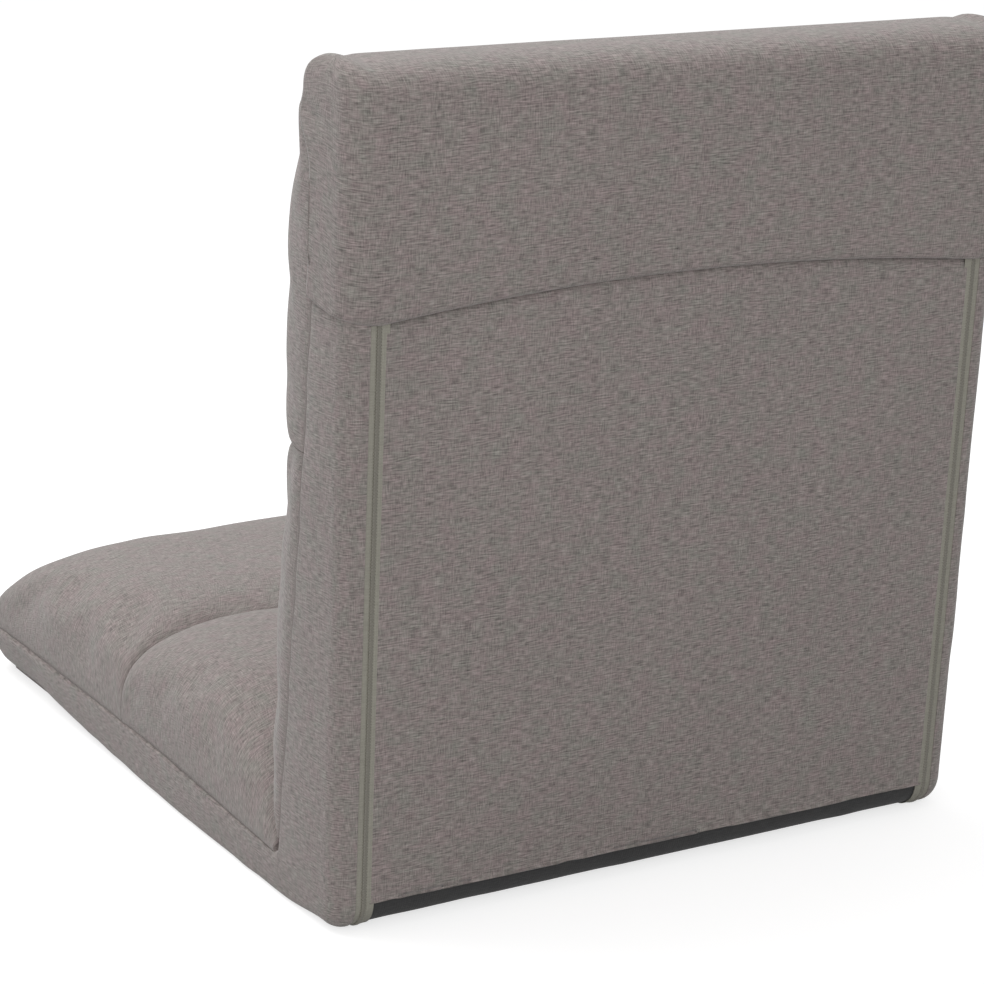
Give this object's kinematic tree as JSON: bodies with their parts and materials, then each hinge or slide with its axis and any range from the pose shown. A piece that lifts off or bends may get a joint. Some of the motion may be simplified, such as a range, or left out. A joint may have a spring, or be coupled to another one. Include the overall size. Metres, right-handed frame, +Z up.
{
  "type": "floor chair",
  "caption": "Padded folding floor chair with a ratchet-hinged back, crowned grey-taupe cushions, a zipped rear panel and a dark base.",
  "frame": {"origin": "on the floor, at the middle of the seat's flat base cloth", "axes": "+Z up, the sitter faces -Y, +X is the sitter's left"},
  "size_m": [0.542, 0.7539, 0.6204],
  "materials": {
    "linen_cloth": "heathered linen weave",
    "dark_cloth": "matt non-woven base cloth",
    "foam": "open-cell foam",
    "tube_paint": "black powder coat",
    "webbing": "elastic webbing",
    "zinc_steel": "zinc plated",
    "nylon": "moulded nylon",
    "zip_tape": "woven zip tape",
    "zip_coil": "nylon coil"
  },
  "bodies": {
    "seat": {"seat_front_cushion": "linen_cloth", "seat_rear_cushion": "linen_cloth", "side_gusset_left": "linen_cloth", "side_gusset_right": "linen_cloth", "seat_front_border": "linen_cloth", "base_cloth": "dark_cloth", "heel_strip": "dark_cloth", "seat_underlay": "foam", "seat_front_foam": "foam", "seat_rear_foam": "foam", "heel_roll": "foam", "seat_frame_tube": "tube_paint", "seat_cross_tubes": "tube_paint", "seat_webbing": "webbing", "hinge_cheeks_left": "zinc_steel", "hinge_cheeks_right": "zinc_steel", "hinge_rivet_left": "zinc_steel", "hinge_rivet_right": "zinc_steel", "pawl_pin_left": "zinc_steel", "pawl_pin_right": "zinc_steel", "pawl_spring_left": "zinc_steel", "pawl_spring_right": "zinc_steel", "cheek_rivets_left": "zinc_steel", "cheek_rivets_right": "zinc_steel", "hinge_washers_left": "nylon", "hinge_washers_right": "nylon"},
    "backrest": {"back_frame_tube": "tube_paint", "back_cross_tubes": "tube_paint", "back_webbing": "webbing", "tongue_rivets": "zinc_steel", "back_lower_foam": "foam", "back_upper_foam": "foam", "back_lower_cushion": "linen_cloth", "back_upper_cushion": "linen_cloth", "head_cap": "linen_cloth", "rear_panel": "linen_cloth", "rear_pad": "foam", "zip_stops": "zip_coil", "ratchet_plate_left": "zinc_steel", "ratchet_plate_right": "zinc_steel", "zip_tapes_left": "zip_tape", "zip_tapes_right": "zip_tape", "zip_coil_left": "zip_coil", "zip_coil_right": "zip_coil"},
    "pawl_left": {"pawl_left": "zinc_steel"},
    "pawl_right": {"pawl_right": "zinc_steel"},
    "zip_slider_left": {"zip_slider_left": "zip_coil"},
    "zip_slider_right": {"zip_slider_right": "zip_coil"}
  },
  "joints": [
    {"name": "back_fold", "type": "hinge", "parent": "seat", "child": "backrest", "pos_m": [0, 0.325, 0.025], "axis": [-1, 0, 0], "range_deg": [-56.67, 85], "deforming": ["seat_rear_cushion", "back_lower_cushion", "side_gusset_left", "side_gusset_right", "heel_strip"]},
    {"name": "pawl_left_swing", "type": "hinge", "parent": "seat", "child": "pawl_left", "pos_m": [0.205, 0.2996, 0.02722], "axis": [1, 0, 0], "range_deg": [0, 13], "deforming": ["pawl_spring_left"]},
    {"name": "pawl_right_swing", "type": "hinge", "parent": "seat", "child": "pawl_right", "pos_m": [-0.205, 0.2996, 0.02722], "axis": [1, 0, 0], "range_deg": [0, 13], "deforming": ["pawl_spring_right"]},
    {"name": "zip_left_slide", "type": "slide", "parent": "backrest", "child": "zip_slider_left", "axis": [0, 0.0767, 0.9971], "range_m": [-0.39, 0]},
    {"name": "zip_right_slide", "type": "slide", "parent": "backrest", "child": "zip_slider_right", "axis": [0, 0.0767, 0.9971], "range_m": [-0.39, 0]}
  ],
  "couplings": [
    {"joint": "pawl_right_swing", "follows": "pawl_left_swing", "ratio": 1}
  ]
}
